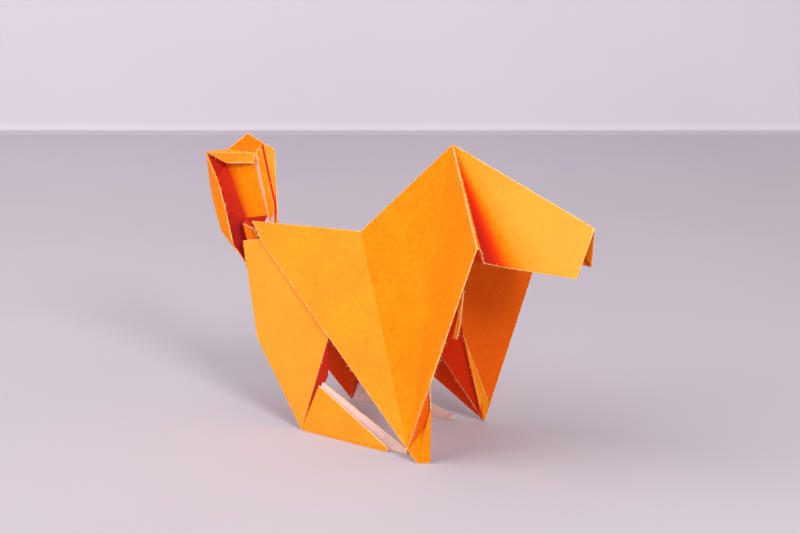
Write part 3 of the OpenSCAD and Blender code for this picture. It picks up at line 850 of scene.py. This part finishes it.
# The tail's band, point and narrow layers.
# Painted light on the tail's top: a faint painted sheen outside the band, painted shade inside, and painted
# shade on the facets behind it.
BAND = {"deep": (-0.2, 0.5), "wave": 0.04}
rear.orange([tail_corner, band_left, band_top], WALL, worn=(0.3, 0, 0.5), **BAND)
rear.orange([band_left, band_right, band_top], WALL, worn=(1.0, 0.3, 0), cut=(0,), **BAND)
rear.orange([tail_corner, band_top, tail_edge], WALL, **BAND)
rear.orange([tail_corner, tail_edge, tail_valley_top], WALL, (0.8, 0.5))
rear.orange([tail_apex_left, tail_apex, tail_apex_right], WALL, (0.35, 0.1), worn=(0.2, 0.2, 0))
rear.orange([tail_apex_left, tail_apex_right, band_top], WALL, (0.35, 0.1))
rear.orange([tail_corner, tail_apex_left, band_top], (0, 0, 1), **BAND)
rear.facet([strip_left, tail_edge, tail_edge_low], (-1, 1, 0), worn=(0.5, 0, 0.5), cut=(0, 1, 2),
           wave=0.02)
rear.facet([strip_left, tail_edge_low, strip_tip], (-1, 1, 0), worn=(0.5, 0, 0.5), cut=(0, 1, 2),
           wave=0.02)
# The narrow layers carry painted shade inside.
NARROW = {"deep": (0.05, 0.6), "wave": 0.03}
rear.orange([strip_left, strip_right, strip_right_low], WALL, worn=(0.5, 0.2, 0.4), **NARROW)
rear.orange([strip_left, strip_right_low, strip_tip], WALL, worn=(0, 0.4, 0.9), **NARROW)
rear.orange([tail_apex_right, strip_left, strip_right], WALL, worn=(0.4, 0.9, 0.4), **NARROW)
# A paler painted sheen on the flap that faces the light from the right, and painted shade inside.
FLAP_PAINTED_LIGHT = {"deep": (-0.4, 0.6), "wave": 0.03}
rear.orange([flap_left, flap_top, flap_out_low], WALL, worn=(0.3, 0, 0.1), **FLAP_PAINTED_LIGHT)
rear.orange([flap_top, flap_out, flap_out_low], WALL, worn=(0.3, 0, 0), **FLAP_PAINTED_LIGHT)
rear.orange([flap_out_low, flap_out, flap_low], WALL, worn=(0, 0.2, 0), **FLAP_PAINTED_LIGHT)
rear.orange([flap_out_low, flap_low, flap_tip], WALL, worn=(0, 0.8, 0.4), **NARROW)
# Layers behind the gap beside the flap, in full painted shade.
for corners in ([strip_right, flap_left, flap_out_low], [strip_right, strip_right_low, flap_out_low],
                [strip_right_low, flap_out_low, flap_tip]):
    rear.orange(corners, WALL, (1.0, 1.0), wave=0.02)
# The tail's root, in painted shade where it folds under.
rear.orange([base_left, base_right, base_low], FRONT, worn=(1.4, 0.2, 0), cut=(0,), deep=(0.5, 0.6),
            wave=0.04)
rear.orange([base_left, base_low, base_corner], FRONT, (0.35, 0.6), wave=0.04)
rear.orange([base_corner, base_low, rear_keel_back], FRONT, (1.0, 1.0))
rear.orange([base_corner, rump, rear_keel_back], FRONT, (1.0, 1.0))
rear.orange([tail_root, hind_notch, rear_keel_back], (-1, 0, 0))
rear.orange([rump, hind_notch, rear_keel_back], (-1, 0, 0))
rear.orange([left_rump, rear_keel_back, left_hind_notch], (-1, 0, 0))

front_piece = front.piece("front_sheet_paper", SHEET_MATERIALS, 11)
rear_piece = rear.piece("rear_sheet_paper", SHEET_MATERIALS, 12)
for piece, node in ((front_piece, "front_sheet"), (rear_piece, "rear_sheet")):
    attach(piece, "root")
    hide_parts(node)

# Camera, at the photograph's angle.
AZIMUTH, ELEVATION = 31.5, 15.5  # degrees
DISTANCE = 600.0  # mm
LENS_PX, FRAME_PX = 1700.0, 800.0  # focal length and the picture's width
SENSOR = 36.0  # mm
TARGET = Vector((16.2 - CENTRE_X, 0, BACK_HEIGHT - 10.7))
turn, lift = math.radians(AZIMUTH), math.radians(ELEVATION)
view_way = Vector((-math.sin(turn) * math.cos(lift), math.cos(turn) * math.cos(lift), -math.sin(lift)))
camera_data = bpy.data.cameras.new("camera")
camera_data.sensor_width = SENSOR
camera_data.lens = LENS_PX * SENSOR / FRAME_PX
camera_data.clip_start = 0.01
camera = bpy.data.objects.new("camera", camera_data)
camera.location = (TARGET - view_way * DISTANCE) * MM
camera.rotation_euler = view_way.to_track_quat("-Z", "Y").to_euler()
bpy.context.scene.collection.objects.link(camera)
bpy.context.scene.camera = camera


def stage_plane(name, colour, corners, one_sided=False):
    """A floor or backdrop with a faint unevenness, made of strips between pairs of corners. A one
    sided one is clear from behind."""
    mesh = bpy.data.meshes.new(name)
    strips = [(k, k + 1, k + 3, k + 2) for k in range(0, len(corners) - 2, 2)]
    mesh.from_pydata([Vector(c) * MM for c in corners], [], strips)
    mesh.polygons.foreach_set("use_smooth", [True] * len(strips))
    m = Nodes(name + "_paint")
    soft = m.noise(6.0, 2.0, 0.5)
    tint = m.blend(m.ramp(soft, 0.3, 0.7), linear(*colour), linear(*[min(255, c + 3) for c in colour]))
    surface = m.matte(tint, 0.85, 0.2)
    if one_sided:
        behind = m.add("ShaderNodeNewGeometry").outputs["Backfacing"]
        clear = m.add("ShaderNodeBsdfTransparent").outputs[0]
        surface = m.add("ShaderNodeMixShader", i0=behind, i1=surface, i2=clear).outputs[0]
    mesh.materials.append(m.finish(surface))
    obj = bpy.data.objects.new(name, mesh)
    bpy.context.scene.collection.objects.link(obj)


# Table and the wall behind it, square to the camera's azimuth.
WALL_BEHIND = 563.0  # from the dog's middle, mm
ROOM = 2500.0  # half the table's width, mm
WALL_HEIGHT = 1500
ROUND = 9.0  # radius where the table rounds up into the wall, mm
ROUND_STEPS = 8
side = Vector((math.cos(turn), math.sin(turn), 0))
back = Vector((-math.sin(turn), math.cos(turn), 0))
up = Vector((0, 0, 1))
base = Vector((TARGET[0], TARGET[1], 0))
wall_line = base + back * WALL_BEHIND


def across(away, height):
    """The two ends of a line square to the view, so far in front of the wall and so high."""
    middle = wall_line - back * away + up * height
    return [middle - side * ROOM, middle + side * ROOM]


arc = [math.pi / 2 * k / ROUND_STEPS for k in range(ROUND_STEPS + 1)]
cove = [p for a in arc for p in across(ROUND * (1 - math.sin(a)), ROUND * (1 - math.cos(a)))]
# The corners come in pairs, and table and wall share the pair half way up.
shared = ROUND_STEPS // 2 * 2
front_edge = [base - side * ROOM - back * ROOM, base + side * ROOM - back * ROOM]
stage_plane("floor", (195, 188, 196), front_edge + cove[:shared + 2])
stage_plane("wall", (225, 218, 227), cove[shared:] + across(0, WALL_HEIGHT), True)


def lamp(name, way, distance, size, power, colour):
    """A round soft lamp that shines on the dog from the given way. Sizes are mm, power is watts."""
    data = bpy.data.lights.new(name, "AREA")
    data.shape = "DISK"
    data.size = size * MM
    data.energy = power
    data.color = colour
    obj = bpy.data.objects.new(name, data)
    way = Vector(way).normalized()
    obj.location = (base + up * 50 + way * distance) * MM
    obj.rotation_euler = (-way).to_track_quat("-Z", "Y").to_euler()
    bpy.context.scene.collection.objects.link(obj)


WARM_WHITE = (1.0, 0.98, 0.96)
lamp("key", side * -0.8 - back * 0.25 + up * 0.7, 900, 900, 5.3, WARM_WHITE)
lamp("fill", side * 0.5 - back * 0.95 + up * 0.75, 950, 320, 5.0, WARM_WHITE)
world = bpy.data.worlds.new("room")
world.use_nodes = True
room_light = world.node_tree.nodes["Background"].inputs
room_light["Color"].default_value = (0.97, 0.96, 1.0, 1.0)
room_light["Strength"].default_value = 0.5
bpy.context.scene.world = world
bpy.context.scene.view_settings.view_transform = "Standard"
